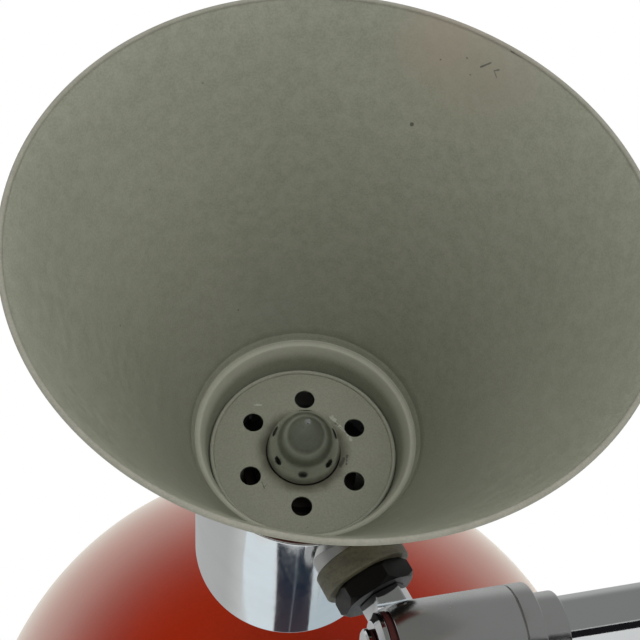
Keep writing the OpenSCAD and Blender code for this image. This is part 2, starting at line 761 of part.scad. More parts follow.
module neck() color("silver") difference() {
    in_head() difference() {
        union() {
            translate([0, 0, neck_front]) cylinder(r = neck_r, h = neck_end - neck_front - 0.6);
            translate([0, 0, neck_end - 0.6 - eps]) cylinder(r1 = neck_r, r2 = neck_r - 0.5, h = 0.6);
        }
        translate([0, 0, neck_front - 1]) cylinder(r = neck_in_r, h = neck_end);
        for (turn = carrier_screw_turns) rotate([0, 0, turn])
            translate([neck_in_r - 3, 0, neck_screw_depth]) rotate([0, 90, 0])
                cylinder(r = neck_screw_r + seat_gap, h = 10);
    }
    in_stack() translate([0, 0, neck_in_r - 4]) cylinder(r = shank_r + run_gap, h = 10);
}

// Three set screws hold the shade's carrier in the neck
module neck_screws() color("silver") in_head()
    for (turn = carrier_screw_turns) rotate([0, 0, turn])
        translate([0, 0, neck_screw_depth]) rotate([0, 90, 0]) difference() {
            translate([0, 0, neck_in_r - carrier_skirt])
                cylinder(r = neck_screw_r, h = neck_wall + carrier_skirt + 0.3);
            translate([-0.3, -5, neck_r - 0.4]) cube([0.6, 10, 2]);
        }

// Ring of L section inside the neck that backs the shade's cup, notched for the shank's nut
module shade_carrier() color("gainsboro") in_head() difference() {
    skirt_r = neck_in_r - carrier_skirt;
    translate([0, 0, carrier_front]) rotate_extrude() polygon([
        [cup_floor_hole_r, 0], [neck_in_r - seat_gap, 0], [neck_in_r - seat_gap, carrier_h],
        [skirt_r, carrier_h], [skirt_r, carrier_t], [cup_floor_hole_r, carrier_t]
    ]);
    for (turn = carrier_screw_turns) rotate([0, 0, turn]) translate([neck_in_r - 3, 0, neck_screw_depth])
        rotate([0, 90, 0]) cylinder(r = neck_screw_r + seat_gap, h = 10);
    rotate([0, 0, 90 - shank_lean]) translate([0, -carrier_notch_w / 2, carrier_front - 1])
        cube([neck_r, carrier_notch_w, carrier_h + 2]);
}

// Spun cone with a rolled rim, whose narrow end turns into a cup that reaches into the neck
module shade() color("olivedrab") in_head() rotate_extrude() {
    slope = atan2(mouth_r - cup_r, cone_depth);
    thick = sheet / cos(slope);
    ledge_r = cup_r - cup_ledge_w;
    polygon([
        [mouth_r, 0], [mouth_r + thick, 0], [cup_r + sheet, cone_depth + 0.1],
        [neck_in_r - 0.15, neck_front - 0.2], [cup_floor_r + sheet, floor_depth + sheet],
        [cup_floor_hole_r, floor_depth + sheet], [cup_floor_hole_r, floor_depth], [cup_floor_r, floor_depth],
        [ledge_r - 0.75 * cup_taper, cone_depth + 0.45 * cup_depth],
        [ledge_r, cone_depth + cup_ledge_drop], [cup_r, cone_depth]
    ]);
    translate([rim_r - bead_r, bead_r - bead_lift]) circle(r = bead_r, $fn = 32);
}

module vent_plate() color("darkseagreen") in_head() difference() {
    union() {
        translate([0, 0, vent_plate_depth]) cylinder(r = vent_ring_circle_r, h = vent_plate_t - 0.02);
        translate([0, 0, vent_plate_depth]) rotate_extrude()
            translate([vent_ring_circle_r, 0]) circle(r = vent_ring_r, $fn = 24);
    }
    translate([0, 0, vent_plate_depth - 2]) cylinder(r = bulb_r + bulb_gap, h = 5);
    for (i = [0 : vent_count - 1]) rotate([0, 0, -vent_turn + i * 360 / vent_count])
        translate([vent_circle_d / 2, 0, vent_plate_depth - 2]) cylinder(r = vent_d / 2, h = 5);
}

module lampholder() color("dimgray") in_head() translate([0, 0, holder_front]) difference() {
    union() {
        cylinder(r = holder_r, h = holder_len);
        translate([0, 0, holder_flange_z]) cylinder(r = holder_flange_r, h = holder_flange_t);
    }
    translate([0, 0, -1]) cylinder(r = bulb_cap_r + 0.15, h = bulb_cap_len + 2);
}

// Plate with three feet that holds the lampholder behind the carrier
module lampholder_legs() color("silver") in_head() {
    foot_front = carrier_front + carrier_t + 0.02;
    plate_front = holder_front + holder_flange_z + holder_flange_t + 0.02;
    translate([0, 0, plate_front]) ring(leg_start + leg_sheet + 0.1, holder_r + 0.1, leg_plate_t);
    for (turn = leg_turns) rotate([0, 0, turn]) translate([leg_start, -leg_w / 2, foot_front]) {
        cube([leg_sheet, leg_w, plate_front - foot_front + 0.5]);
        cube([leg_foot, leg_w, leg_plate_t]);
    }
}

// Small crown-silvered bulb, its profile is an arch that ends in a rounded point
module bulb() color("gray") in_head() {
    point_z = bulb_tip - bulb_point_r;
    arch_r = (pow(point_z, 2) + pow(bulb_r, 2) - pow(bulb_point_r, 2)) / (2 * (bulb_r - bulb_point_r));
    arch_x = bulb_r - arch_r;
    turn = atan2(point_z, -arch_x);
    arch = [for (k = [0 : 20]) let (a = turn * k / 20) [arch_x + arch_r * cos(a), -arch_r * sin(a)]];
    point = [
        for (k = [1 : 5]) let (a = turn + (84 - turn) * k / 5)
            [bulb_point_r * cos(a), -point_z - bulb_point_r * sin(a)]
    ];
    shoulder = bulb_neck_depth - floor_depth;
    rotate_extrude() translate([0, floor_depth]) polygon(concat(
        [[0, shoulder], [bulb_cap_r - 0.6, shoulder], [bulb_r, 0.8]], arch, point, [[0, point[4].y]]
    ));
}

module bulb_cap() color("goldenrod") in_head() {
    translate([0, 0, bulb_neck_depth + 0.02]) cylinder(r = bulb_cap_r, h = bulb_cap_len);
    for (side = [-1, 1]) translate([side * 3, 0, bulb_neck_depth + bulb_cap_len]) cylinder(r = 1.5, h = 1);
}

module rear_cap() color("silver") in_head() difference() {
    union() {
        translate([0, 0, neck_end - rear_cap_skirt])
            ring(neck_in_r - seat_gap, neck_in_r - rear_cap_wall, rear_cap_skirt - rear_cap_t + eps);
        translate([0, 0, neck_end - rear_cap_t]) cylinder(r = neck_in_r - seat_gap, h = rear_cap_t);
    }
    translate([0, 0, neck_end - rear_cap_t - 1]) cylinder(r = bushing_r + seat_gap, h = 5);
    for (i = [0 : 7]) rotate([0, 0, i * 45]) translate([rear_vent_circle_r, 0, neck_end - rear_cap_t - 1])
        cylinder(r = rear_vent_r, h = 5);
}

module switch_body() color("ivory") in_head() difference() {
    union() {
        translate([0, 0, switch_front])
            cylinder(r = switch_r, h = neck_end - rear_cap_t - 0.1 - switch_front);
        translate([0, 0, switch_front]) cylinder(r = bushing_r, h = bushing_end - switch_front);
        for (side = [-1, 1]) translate([side * lug_gap - 0.4, -2, switch_front - lug_len])
            cube([0.8, 4, lug_len + 0.1]);
    }
    translate([0, 0, neck_end - button_well]) cylinder(r = button_r + button_gap, h = 20);
}

module switch_ring_nut() color("silver") in_head() translate([0, 0, neck_end + 0.02]) difference() {
    bevelled(ring_nut_r, ring_nut_t, 0.5);
    translate([0, 0, -1]) cylinder(r = bushing_r + seat_gap, h = 10);
    for (side = [0, 90]) rotate([0, 0, side]) translate([-0.7, -20, 1]) cube([1.4, 40, 2]);
}

module switch_button() color("black") in_head() {
    start = neck_end - button_well + button_travel + 0.4;
    top = bushing_end + button_out - button_edge;
    translate([0, 0, start]) cylinder(r = button_r, h = top - start);
    translate([0, 0, top - eps]) cylinder(r1 = button_r, r2 = button_r - button_edge, h = button_edge);
}

wall_plate();
cable_grommet();
post_bracket();
canopy_dome();
canopy_screws();
canopy_collar();
shoulder_post();
post_washer();
post_nuts();
transformer_core();
transformer_coil();
transformer_screws();
terminal_block();
shoulder_stud();
shoulder_washers();
shoulder_cap_nut();
shoulder_eye();
lower_arm_tube();
lower_elbow_eye();
elbow_stud();
elbow_washers();
elbow_cap_nuts();
upper_elbow_eye();
upper_arm_tube();
arm_collar();
sleeve_cap();
arm_sleeve();
knuckle_screw();
knuckle_washers();
knuckle();
fibre_washer();
swivel_nut();
stud_inner_nut();
saddle_washer();
neck();
neck_screws();
shade_carrier();
shade();
vent_plate();
lampholder();
lampholder_legs();
bulb();
bulb_cap();
rear_cap();
switch_body();
switch_ring_nut();
switch_button();
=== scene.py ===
"""Looks of the wall lamp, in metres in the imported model's frame. Outlines and marks are in millimetres."""
import json
import math

import bmesh
import bpy
from mathutils import Matrix, Vector

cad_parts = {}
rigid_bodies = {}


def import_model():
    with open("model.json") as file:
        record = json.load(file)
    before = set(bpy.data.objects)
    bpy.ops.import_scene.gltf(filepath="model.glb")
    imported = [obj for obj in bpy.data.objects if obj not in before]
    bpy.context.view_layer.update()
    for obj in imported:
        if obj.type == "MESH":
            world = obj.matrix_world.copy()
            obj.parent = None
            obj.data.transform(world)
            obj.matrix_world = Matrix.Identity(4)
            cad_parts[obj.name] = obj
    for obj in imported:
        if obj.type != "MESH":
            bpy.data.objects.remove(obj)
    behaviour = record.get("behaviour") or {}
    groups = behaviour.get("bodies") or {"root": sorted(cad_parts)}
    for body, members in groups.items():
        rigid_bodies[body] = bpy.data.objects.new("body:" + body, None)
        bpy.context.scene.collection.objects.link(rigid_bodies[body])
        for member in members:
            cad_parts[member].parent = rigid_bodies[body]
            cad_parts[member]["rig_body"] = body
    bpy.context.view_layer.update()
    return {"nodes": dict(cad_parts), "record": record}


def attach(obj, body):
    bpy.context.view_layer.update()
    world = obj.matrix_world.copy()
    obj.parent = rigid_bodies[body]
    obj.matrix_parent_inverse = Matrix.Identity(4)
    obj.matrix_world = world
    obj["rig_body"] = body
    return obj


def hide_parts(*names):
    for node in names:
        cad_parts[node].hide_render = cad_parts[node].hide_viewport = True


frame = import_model()
nodes = frame["nodes"]
scene = bpy.context.scene
scene.view_settings.view_transform = "Standard"
MM = 0.001

# Camera: looks up at the lamp from below, fitted to the photograph
cam_data = bpy.data.cameras.new("camera")
cam_data.sensor_width = 36.0
cam_data.lens = 67.5
cam_data.clip_start = 0.01
camera = bpy.data.objects.new("camera", cam_data)
scene.collection.objects.link(camera)
cam_right = Vector((0.97783, -0.08555, -0.19114))
cam_up = Vector((0.11601, -0.53858, 0.83455))
cam_back = -Vector((0.17434, 0.83822, 0.51671))
view = Matrix((cam_right, cam_up, cam_back)).transposed().to_4x4()
view.translation = Vector((-0.046222, -0.445316, -0.088819))
camera.matrix_world = view
scene.camera = camera

# Frames of the pieces, in millimetres. z is each piece's own axis
RIM = (-7.0005, -289.215, 24.639)  # middle of the shade's rim
STUD_DEPTH = 87.0  # from the rim back to the swivel's axis
STACK_LEAN = 17.4  # degrees
ARM_ORIGIN = (7.772, -202.215, -22.5)
SHOULDER_Y, LOWER_Z, LOWER_TURN = -122.3, -41.8, -21.3
HEAD = Matrix.Translation(RIM) @ Matrix.Rotation(math.radians(-90), 4, "X")
STACK = (Matrix.Translation((RIM[0], RIM[1] + STUD_DEPTH, RIM[2]))
         @ Matrix.Rotation(math.radians(180 - STACK_LEAN), 4, "Y"))
ARM = Matrix.Translation(ARM_ORIGIN) @ Matrix.Rotation(math.radians(90), 4, "Y")
CANOPY = Matrix.Rotation(math.radians(90), 4, "X")
LOWER_ARM = (Matrix.Translation((0, SHOULDER_Y, LOWER_Z)) @ Matrix.Rotation(math.radians(LOWER_TURN), 4, "Z")
             @ Matrix.Rotation(math.radians(90), 4, "Y"))


# Mesh helpers

def to_object(name, bm):
    """Links a new object with the bmesh's mesh, and frees the bmesh."""
    mesh = bpy.data.meshes.new(name)
    bm.to_mesh(mesh)
    bm.free()
    obj = bpy.data.objects.new(name, mesh)
    scene.collection.objects.link(obj)
    return obj


def add_object(name, bm, place, sharp=30):
    """Makes an object of a bmesh that is written in millimetres in the frame `place`."""
    bmesh.ops.remove_doubles(bm, verts=bm.verts, dist=1e-5)
    bmesh.ops.recalc_face_normals(bm, faces=bm.faces)
    bmesh.ops.transform(bm, matrix=Matrix.Scale(MM, 4) @ place, verts=bm.verts)
    for face in bm.faces:
        face.smooth = True
    for edge in bm.edges:
        if len(edge.link_faces) == 2 and edge.calc_face_angle(0) > math.radians(sharp):
            edge.smooth = False
    return to_object(name, bm)


def rounded(points, radii, steps=5):
    """Rounds the corners of a closed (r, z) outline. radii is one number or {index: radius}."""
    out = []
    count = len(points)
    for i, point in enumerate(points):
        radius = radii.get(i, 0) if isinstance(radii, dict) else radii
        here = Vector(point)
        to_prev = Vector(points[i - 1]) - here
        to_next = Vector(points[(i + 1) % count]) - here
        if radius <= 0 or here.x < 1e-6 or to_prev.length < 1e-9 or to_next.length < 1e-9:
            out.append(tuple(here))
            continue
        angle = to_prev.angle(to_next)
        if angle > math.radians(175) or angle < math.radians(3):
            out.append(tuple(here))
            continue
        reach = min(radius / math.tan(angle / 2), to_prev.length * 0.48, to_next.length * 0.48)
        start = here + to_prev.normalized() * reach
        end = here + to_next.normalized() * reach
        for k in range(steps + 1):
            t = k / steps
            out.append(tuple(start * (1 - t) ** 2 + here * 2 * t * (1 - t) + end * t ** 2))
    return out


def braced(outline, reach=0.2, least=1.5):
    """Adds points close to both ends of every long span, so that its shading stays straight."""
    out = []
    for i, point in enumerate(outline):
        here, after = Vector(point), Vector(outline[(i + 1) % len(outline)])
        out.append(tuple(here))
        length = (after - here).length
        if length > least:
            out += [tuple(here.lerp(after, reach / length)), tuple(after.lerp(here, reach / length))]
    return out


def arc(cx, cz, radius, a0, a1, steps):
    """Points of an arc in the (r, z) plane, angles in degrees."""
    out = []
    for k in range(steps + 1):
        a = math.radians(a0 + (a1 - a0) * k / steps)
        out.append((cx + radius * math.cos(a), cz + radius * math.sin(a)))
    return out


def lathe_mesh(outline, segments=160, second=None):
    """Turns a closed (r, z) outline round z. Faces of the span `second` of the outline take material 1."""
    bm = bmesh.new()
    rings = []
    for r, z in outline:
        if r < 1e-6:
            rings.append([bm.verts.new((0, 0, z))])
        else:
            rings.append([bm.verts.new((r * math.cos(2 * math.pi * k / segments),
                                        r * math.sin(2 * math.pi * k / segments), z))
                          for k in range(segments)])
    for i, ring in enumerate(rings):
        after = rings[(i + 1) % len(rings)]
        if len(ring) == 1 and len(after) == 1:
            continue
        for k in range(segments):
            m = (k + 1) % segments
            if len(ring) == 1:
                face = bm.faces.new((ring[0], after[m], after[k]))
            elif len(after) == 1:
                face = bm.faces.new((ring[k], ring[m], after[0]))
            else:
                face = bm.faces.new((ring[k], ring[m], after[m], after[k]))
            if second and second[0] <= i < second[1]:
                face.material_index = 1
    return bm


def finish_piece(obj, body, slot, replaces, look=None):
    """Rides a piece on its body, hides the nodes it replaces and gives it its material: the look, or else the
    slot's.
    """
    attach(obj, body)
    if replaces:
        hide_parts(*replaces)
    obj.data.materials.append(look or MATERIALS[slot])


def lathe(name, outline, place, body, slot, replaces=(), segments=160, sharp=30, second=None, look=None):
    """A turned piece, finished."""
    obj = add_object(name, lathe_mesh(outline, segments, second), place, sharp)
    finish_piece(obj, body, slot, replaces, look)
    return obj


def hexagon_mesh(flats, low, high, turn=0.0, shift=(0, 0), bevel=0.0):
    """A six-sided prism from low to high, `flats` across, turned by `turn` degrees."""
    bm = bmesh.new()
    corner = flats / math.sqrt(3)
    rings = []
    for z in (low, high):
        rings.append([bm.verts.new((shift[0] + corner * math.cos(math.radians(60 * k + turn)),
                                    shift[1] + corner * math.sin(math.radians(60 * k + turn)), z))
                      for k in range(6)])
    bm.faces.new(rings[0][::-1])
    bm.faces.new(rings[1])
    for k in range(6):
        m = (k + 1) % 6
        bm.faces.new((rings[0][k], rings[0][m], rings[1][m], rings[1][k]))
    if bevel > 0:
        bmesh.ops.bevel(bm, geom=bm.edges[:], offset=bevel, segments=3, profile=0.5,
                        affect="EDGES", clamp_overlap=True)
    return bm


def boolean(target, other, kind, sharp=22):
    """Applies a boolean of two objects to the first and removes the second."""
    mod = target.modifiers.new("cut", "BOOLEAN")
    mod.operation = kind
    mod.solver = "EXACT"
    mod.object = other
    bpy.context.view_layer.update()
    depsgraph = bpy.context.evaluated_depsgraph_get()
    mesh = bpy.data.meshes.new_from_object(target.evaluated_get(depsgraph))
    target.modifiers.clear()
    target.data = mesh
    bpy.data.objects.remove(other)
    bm = bmesh.new()
    bm.from_mesh(mesh)
    bmesh.ops.remove_doubles(bm, verts=bm.verts, dist=1e-7)
    bmesh.ops.dissolve_degenerate(bm, edges=bm.edges, dist=1e-7)
    for face in bm.faces:
        face.smooth = True
    for edge in bm.edges:
        edge.smooth = not (len(edge.link_faces) == 2
                           and edge.calc_face_angle(0) > math.radians(sharp))
    bm.to_mesh(mesh)
    bm.free()


def join(name, objs):
    """Replaces objects by one new object with all their faces."""
    bm = bmesh.new()
    for o in objs:
        bm.from_mesh(o.data)
    for o in objs:
        bpy.data.objects.remove(o)
    return to_object(name, bm)


# Material helpers

class Tree:
    """A small writer for node trees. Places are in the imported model's frame."""

    def __init__(self, name):
        self.material = bpy.data.materials.new(name)
        self.material.use_nodes = True
        self.nodes = self.material.node_tree.nodes
        self.links = self.material.node_tree.links
        self.shader = self.nodes["Principled BSDF"]
        self.coord = self.new("ShaderNodeTexCoord").outputs["Object"]

    def new(self, kind, **props):
        n = self.nodes.new(kind)
        for key, value in props.items():
            setattr(n, key, value)
        return n

    def put(self, socket, value):
        """Links a socket, or sets the number or colour on it."""
        if isinstance(value, bpy.types.NodeSocket):
            self.links.new(value, socket)
        else:
            socket.default_value = value

    def constant(self, **values):
        for key, value in values.items():
            self.shader.inputs[key.replace("_", " ")].default_value = value

    def axis(self, letter, vector=None):
        n = self.new("ShaderNodeSeparateXYZ")
        self.put(n.inputs[0], vector or self.coord)
        return n.outputs[letter]

    def noise(self, scale, detail=3.0, rough=0.55, vector=None):
        n = self.new("ShaderNodeTexNoise")
        self.put(n.inputs["Vector"], vector or self.coord)
        n.inputs["Scale"].default_value = scale
        n.inputs["Detail"].default_value = detail
        n.inputs["Roughness"].default_value = rough
        return n.outputs["Fac"]

    def cells(self, scale):
        n = self.new("ShaderNodeTexVoronoi", feature="F1")
        self.put(n.inputs["Vector"], self.coord)
        n.inputs["Scale"].default_value = scale
        return n.outputs["Distance"]

    def bands(self, direction, scale, distortion):
        n = self.new("ShaderNodeTexWave", wave_type="BANDS", bands_direction=direction)
        self.put(n.inputs["Vector"], self.coord)
        n.inputs["Scale"].default_value = scale
        n.inputs["Distortion"].default_value = distortion
        return n.outputs["Fac"]

    def ramp(self, value, a, b, c=0.0, d=1.0):
        """Goes smoothly from c to d while the value goes from a to b."""
        n = self.new("ShaderNodeMapRange", interpolation_type="SMOOTHSTEP")
        self.put(n.inputs["Value"], value)
        n.inputs["From Min"].default_value = a
        n.inputs["From Max"].default_value = b
        n.inputs["To Min"].default_value = c
        n.inputs["To Max"].default_value = d
        return n.outputs["Result"]

    def math(self, kind, a, b=0.0, clamp=False):
        n = self.new("ShaderNodeMath", operation=kind, use_clamp=clamp)
        self.put(n.inputs[0], a)
        self.put(n.inputs[1], b)
        return n.outputs[0]

    def vector(self, kind, a, b=None, scale=None):
        n = self.new("ShaderNodeVectorMath", operation=kind)
        self.put(n.inputs[0], a)
        if b is not None:
            self.put(n.inputs[1], b)
        if scale is not None:
            self.put(n.inputs["Scale"], scale)
        return n.outputs["Value"] if kind in ("DISTANCE", "LENGTH", "DOT_PRODUCT") else n.outputs["Vector"]

    def mix(self, factor, a, b):
        n = self.new("ShaderNodeMix", data_type="RGBA", blend_type="MIX")
        self.put(n.inputs[0], factor)
        for socket, value in ((n.inputs[6], a), (n.inputs[7], b)):
            self.put(socket, (*value, 1.0) if isinstance(value, tuple) and len(value) == 3 else value)
        return n.outputs[2]

    def paint(self, color, mask, amount, tone):
        """Lays a tone over a colour where the mask is 1."""
        return self.mix(self.math("MULTIPLY", mask, amount), color, tone)

    def bump(self, height, strength, distance_mm):
        n = self.new("ShaderNodeBump")
        self.put(n.inputs["Height"], height)
        n.inputs["Strength"].default_value = strength
        n.inputs["Distance"].default_value = distance_mm * MM
        return n.outputs["Normal"]

    def wobbled(self, value, spread_mm, scale, detail=3.0):
        """Makes a distance uneven by noise that spreads over `spread_mm`."""
        noise = self.math("SUBTRACT", self.noise(scale, detail), 0.5)
        return self.math("ADD", value, self.math("MULTIPLY", noise, spread_mm * MM))

    def spot(self, centre_mm, radius_mm, soft_mm, wobble, wobble_scale):
        """1 inside a ball round a point, 0 outside."""
        d = self.vector("DISTANCE", self.coord, tuple(c * MM for c in centre_mm))
        d = self.wobbled(d, wobble * 2, wobble_scale)
        return self.ramp(d, (radius_mm - soft_mm) * MM, (radius_mm + soft_mm) * MM, 1.0, 0.0)

    def scratch(self, a_mm, b_mm, width_mm, soft_mm, wobble, wobble_scale=900.0):
        """1 along a line between two points, 0 away from it."""
        a = Vector(a_mm) * MM
        along = Vector(b_mm) * MM - a
        rel = self.vector("SUBTRACT", self.coord, tuple(a))
        t = self.math("MULTIPLY", self.vector("DOT_PRODUCT", rel, tuple(along)), 1.0 / along.length_squared,
                      clamp=True)
        d = self.vector("DISTANCE", rel, self.vector("SCALE", tuple(along), scale=t))
        d = self.wobbled(d, wobble * 2, wobble_scale)
        return self.ramp(d, (width_mm - soft_mm) * MM, (width_mm + soft_mm) * MM, 1.0, 0.0)

    def most(self, masks):
        out = masks[0]
        for m in masks[1:]:
            out = self.math("MAXIMUM", out, m)
        return out

    def done(self, color, rough, normal=None):
        for key, value in (("Base Color", color), ("Roughness", rough), ("Normal", normal)):
            if value is not None:
                self.put(self.shader.inputs[key], value)
        return self.material


def metal(name, tone, dark_tone, rough, rough_spread, scale=60.0, wear=0.4, bump=0.06):
    """Plated or plain metal: cloudy tone, fine scratches, pits and uneven gloss."""
    t = Tree(name)
    t.constant(Metallic=1.0)
    cloud = t.noise(scale, 4.0)
    fine = t.noise(scale * 30, 2.0, vector=t.vector("MULTIPLY", t.coord, (1.0, 0.15, 1.0)))
    pits = t.ramp(t.cells(scale * 5), 0.03, 0.07, 1.0, 0.0)
    pits = t.math("MULTIPLY", pits, t.ramp(t.noise(scale * 2.2), 0.60, 0.68))
    base = t.mix(t.ramp(cloud, 0.35, 0.7), tone, tuple(c * 0.94 for c in tone))
    color = t.paint(base, pits, wear, dark_tone)
    r = t.ramp(t.math("ADD", t.math("MULTIPLY", cloud, 0.6), t.math("MULTIPLY", fine, 0.4)),
               0.3, 0.7, rough, rough + rough_spread)
    r = t.math("ADD", r, t.math("MULTIPLY", pits, 0.35))
    return t.done(color, r, t.bump(t.math("SUBTRACT", fine, pits), bump, 0.05))


def red_enamel(name, painted_shade_by_neck=False):
    """Sprayed red-orange enamel: orange peel, faint clouds, dust specks, a pale bloom at grazing angles, and
    painted shade near the neck if asked.
    """
    t = Tree(name)
    tone, other, speck = (0.262, 0.0140, 0.0008), (0.228, 0.0105, 0.0006), (0.10, 0.025, 0.015)
    t.constant(Specular_IOR_Level=0.14, Sheen_Roughness=0.5, Sheen_Tint=(1.0, 1.0, 0.88, 1.0))
    facing = t.new("ShaderNodeLayerWeight")
    facing.inputs["Blend"].default_value = 0.5
    t.put(t.shader.inputs["Sheen Weight"], t.ramp(facing.outputs["Facing"], 0.17, 0.56, 0.0, 0.93))
    cloud = t.noise(18.0, 4.0)
    grain = t.noise(1040.0, 2.0)
    dust = t.math("MULTIPLY", t.ramp(t.cells(252.0), 0.05, 0.12, 1.0, 0.0), t.ramp(t.noise(72.0), 0.6, 0.66))
    base = t.mix(t.ramp(cloud, 0.3, 0.7), tone, other)
    base = t.mix(t.ramp(grain, 0.35, 0.65, 0.0, 0.12), base, tuple(c * 0.5 for c in tone))
    color = t.paint(base, dust, 0.6, speck)
    # Painted shade: the enamel turns nearly black towards the narrow end, where the shade's outside meets the
    # neck
    if painted_shade_by_neck:
        painted_shade = t.ramp(t.axis("Y"), -228.0 * MM, -214.0 * MM, 0.0, 0.9)
        color = t.mix(painted_shade, color, (0.030, 0.006, 0.004))
    height = t.math("ADD", t.noise(260.0, 2.0), t.math("MULTIPLY", dust, 0.6))
    return t.done(color, t.ramp(cloud, 0.3, 0.7, 0.16, 0.24), t.bump(height, 0.05, 0.06))


def plastic(name, tone, other, rough, scale=200.0, bump=0.1, spec=0.5):
    """Moulded or pressed plastic, rubber or fibre."""
    t = Tree(name)
    t.constant(Specular_IOR_Level=spec)
    cloud = t.noise(scale, 5.0)
    grain = t.noise(scale * 12, 2.0)
    color = t.mix(t.ramp(cloud, 0.3, 0.7), tone, other)
    color = t.mix(t.ramp(grain, 0.4, 0.7, 0.0, 0.25), color, tuple(c * 0.6 for c in tone))
    return t.done(color, t.ramp(grain, 0.3, 0.7, rough, rough + 0.12),
                  t.bump(t.math("ADD", cloud, grain), bump, 0.08))


def shade_enamel():
    """Satin grey-green enamel inside the shade, with chips, scratches and stains near the photograph's, and
    painted light on the cup's wall.
    """
    t = Tree("shade_enamel")
    t.constant(Specular_IOR_Level=0.35)
    cloud = t.noise(26.0, 4.0)
    grain = t.noise(2600.0, 2.0)
    mottled = t.noise(420.0, 3.0)
    base = t.mix(t.ramp(cloud, 0.3, 0.7), (0.250, 0.256, 0.196), (0.228, 0.236, 0.178))
    base = t.mix(t.ramp(grain, 0.38, 0.62, 0.0, 0.30), base, (0.13, 0.13, 0.10))
    base = t.mix(t.ramp(mottled, 0.35, 0.7, 0.0, 0.22), base, (0.34, 0.345, 0.275))
    specks = t.math("MULTIPLY", t.ramp(t.cells(240.0), 0.04, 0.085, 1.0, 0.0),
                    t.ramp(t.noise(120.0), 0.60, 0.66))
    color = t.paint(base, specks, 0.55, (0.07, 0.07, 0.055))
    for centre, radius, tone, amount in SHADE_ZONES:
        color = t.paint(color, t.spot(centre, radius, radius * 0.8, radius * 0.4, 90.0), amount, tone)
    depth = t.axis("Y")
    # Painted light: the cup's wall is lighter towards its edge, where light falls on it
    pale = t.math("MULTIPLY", t.ramp(depth, -216.4 * MM, -214.6 * MM),
                  t.ramp(depth, -213.4 * MM, -210.6 * MM, 1.0, 0.0))
    color = t.paint(color, pale, 0.55, (0.47, 0.475, 0.385))
    # Pinkish grey on the rolled bead at the rim
    rim_tint = t.ramp(t.wobbled(depth, 0.9, 140.0, 4.0), -289.0 * MM, -288.5 * MM, 0.35, 0.0)
    color = t.mix(rim_tint, color, (0.215, 0.185, 0.165))
    marks = t.most([t.scratch(a, b, w, 0.10, 0.12) for a, b, w in SHADE_SCRATCHES]
                   + [t.spot(c, r, 0.12, 0.25, 1500.0) for c, r in SHADE_CHIPS])
    color = t.paint(color, marks, 0.8, (0.045, 0.045, 0.04))
    height = t.math("SUBTRACT", t.math("ADD", t.noise(700.0, 3.0), t.math("MULTIPLY", grain, 0.4)),
                    t.math("MULTIPLY", marks, 0.8))
    return t.done(color, t.ramp(mottled, 0.3, 0.7, 0.42, 0.55), t.bump(height, 0.22, 0.06))


def plate_enamel():
    """The vent plate's enamel: as the shade's, with chips by the bulb and darker brown round its base."""
    t = Tree("plate_enamel")
    t.constant(Specular_IOR_Level=0.35)
    grain = t.noise(2200.0, 3.0)
    cloud = t.noise(60.0, 4.0)
    base = t.mix(t.ramp(cloud, 0.3, 0.7), (0.285, 0.288, 0.222), (0.255, 0.262, 0.198))
    base = t.mix(t.ramp(grain, 0.35, 0.65, 0.0, 0.3), base, (0.16, 0.16, 0.12))
    flat = t.vector("MULTIPLY", t.vector("SUBTRACT", t.coord, tuple(c * MM for c in RIM)), (1.0, 0.0, 1.0))
    reach = t.vector("LENGTH", flat)
    # Darker brown towards the bulb's base
    dark_round_bulb = t.ramp(t.wobbled(reach, 2.6, 260.0, 4.0), 8.2 * MM, 11.0 * MM, 0.8, 0.0)
    color = t.mix(dark_round_bulb, base, (0.085, 0.075, 0.050))
    rim = t.ramp(t.wobbled(reach, 0.5, 500.0), 19.6 * MM, 20.2 * MM, 0.0, 0.35)
    color = t.mix(rim, color, (0.36, 0.36, 0.30))
    bare = t.most([t.scratch(on_plate(a), on_plate(b), w, 0.12, 0.75, 1100.0) for a, b, w in PLATE_CHIPS])
    color = t.paint(color, bare, 0.6, (0.50, 0.50, 0.43))
    dark = t.most([t.scratch(on_plate(a), on_plate(b), w, 0.12, 0.5, 1200.0) for a, b, w in PLATE_STAINS])
    color = t.paint(color, dark, 0.75, (0.05, 0.048, 0.035))
    height = t.math("SUBTRACT", t.noise(800.0, 3.0), t.math("ADD", t.math("MULTIPLY", bare, 0.6), dark))
    return t.done(color, t.ramp(grain, 0.3, 0.7, 0.45, 0.6), t.bump(height, 0.25, 0.06))


def silvered_glass():
    """Mirror coating on the bulb, dulled by dust."""
    t = Tree("silvered_glass")
    t.constant(Metallic=1.0, Coat_Weight=0.3, Coat_Roughness=0.05)
    cloud = t.noise(180.0, 4.0)
    dust = t.noise(2400.0, 2.0)
    color = t.mix(t.ramp(cloud, 0.3, 0.7), (0.64, 0.665, 0.65), (0.57, 0.595, 0.58))
    color = t.mix(t.ramp(dust, 0.45, 0.75, 0.0, 0.18), color, (0.25, 0.25, 0.235))
    rough = t.ramp(cloud, 0.3, 0.7, 0.13, 0.20)
    return t.done(color, rough, t.bump(dust, 0.05, 0.03))


def laminations():
    """Stacked steel sheets of the transformer's core, with a little rust."""
    t = Tree("laminations")
    t.constant(Metallic=0.7)
    sheets = t.bands("Y", 320.0, 0.6)
    color = t.mix(sheets, (0.10, 0.105, 0.12), (0.24, 0.24, 0.25))
    color = t.mix(t.ramp(t.noise(90.0), 0.55, 0.75, 0.0, 0.6), color, (0.16, 0.08, 0.04))
    return t.done(color, 0.45, t.bump(sheets, 0.5, 0.2))


def winding():
    """Lacquered copper wire."""
    t = Tree("winding")
    t.constant(Specular_IOR_Level=0.5, Coat_Weight=0.5, Coat_Roughness=0.2)
    turns = t.bands("Z", 400.0, 0.8)
    color = t.mix(turns, (0.28, 0.10, 0.03), (0.62, 0.30, 0.09))
    return t.done(color, 0.35, t.bump(turns, 0.6, 0.2))


